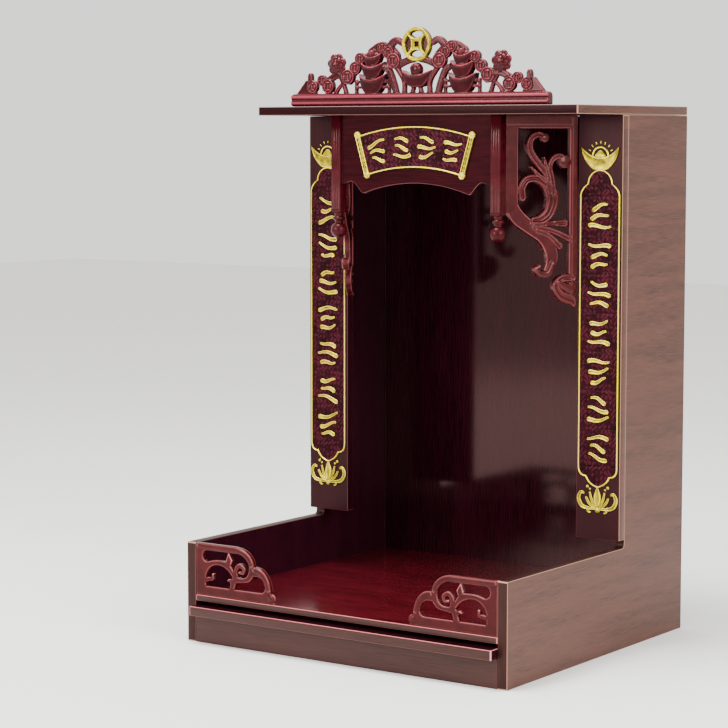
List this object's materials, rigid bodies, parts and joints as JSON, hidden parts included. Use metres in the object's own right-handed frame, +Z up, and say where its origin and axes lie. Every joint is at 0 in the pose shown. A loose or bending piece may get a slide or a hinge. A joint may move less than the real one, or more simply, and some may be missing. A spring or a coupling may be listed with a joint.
{
  "type": "household altar cabinet",
  "caption": "Open-fronted altar box on a low tray, with a porch roof, carved crown, hanging posts, scroll brackets and a board that slides out under the floor.",
  "frame": {"origin": "on the ground, at the centre of the footprint with the sliding board pushed in", "axes": "+Z up, the open front faces -Y, +X is to the right of a person facing the front"},
  "size_m": [0.43, 0.4004, 0.698],
  "materials": {
    "side_laminate": "satin wood-grain laminate",
    "edge_laminate": "satin dark laminate and edge band",
    "dark_gloss_laminate": "glossy dark laminate",
    "red_gloss_laminate": "glossy red wood-grain laminate",
    "maroon_laminate": "satin maroon laminate",
    "gilt_plastic": "moulded relief painted gold on maroon",
    "moulded_plastic": "glossy moulded",
    "crown_plastic": "glossy moulded, with one gold coin"
  },
  "bodies": {
    "cabinet": {"side_panel_right": "side_laminate", "side_panel_left": "side_laminate", "top_board": "edge_laminate", "back_panel": "dark_gloss_laminate", "floor_board": "red_gloss_laminate", "plinth_board": "edge_laminate", "runner_right": "edge_laminate", "runner_left": "edge_laminate", "pilaster_board_right": "maroon_laminate", "pilaster_board_left": "maroon_laminate", "couplet_plaque_right": "gilt_plastic", "couplet_plaque_left": "gilt_plastic", "frieze_board": "maroon_laminate", "fan_plaque": "gilt_plastic", "hanging_post_right": "moulded_plastic", "hanging_post_left": "moulded_plastic", "scroll_bracket_right": "moulded_plastic", "scroll_bracket_left": "moulded_plastic", "rail_bracket_right": "moulded_plastic", "rail_bracket_left": "moulded_plastic", "crown": "crown_plastic"},
    "slide": {"sliding_board": "edge_laminate"}
  },
  "joints": [
    {"name": "board_slide", "type": "slide", "parent": "cabinet", "child": "slide", "axis": [0, -1, 0], "range_m": [0, 0.15]}
  ]
}
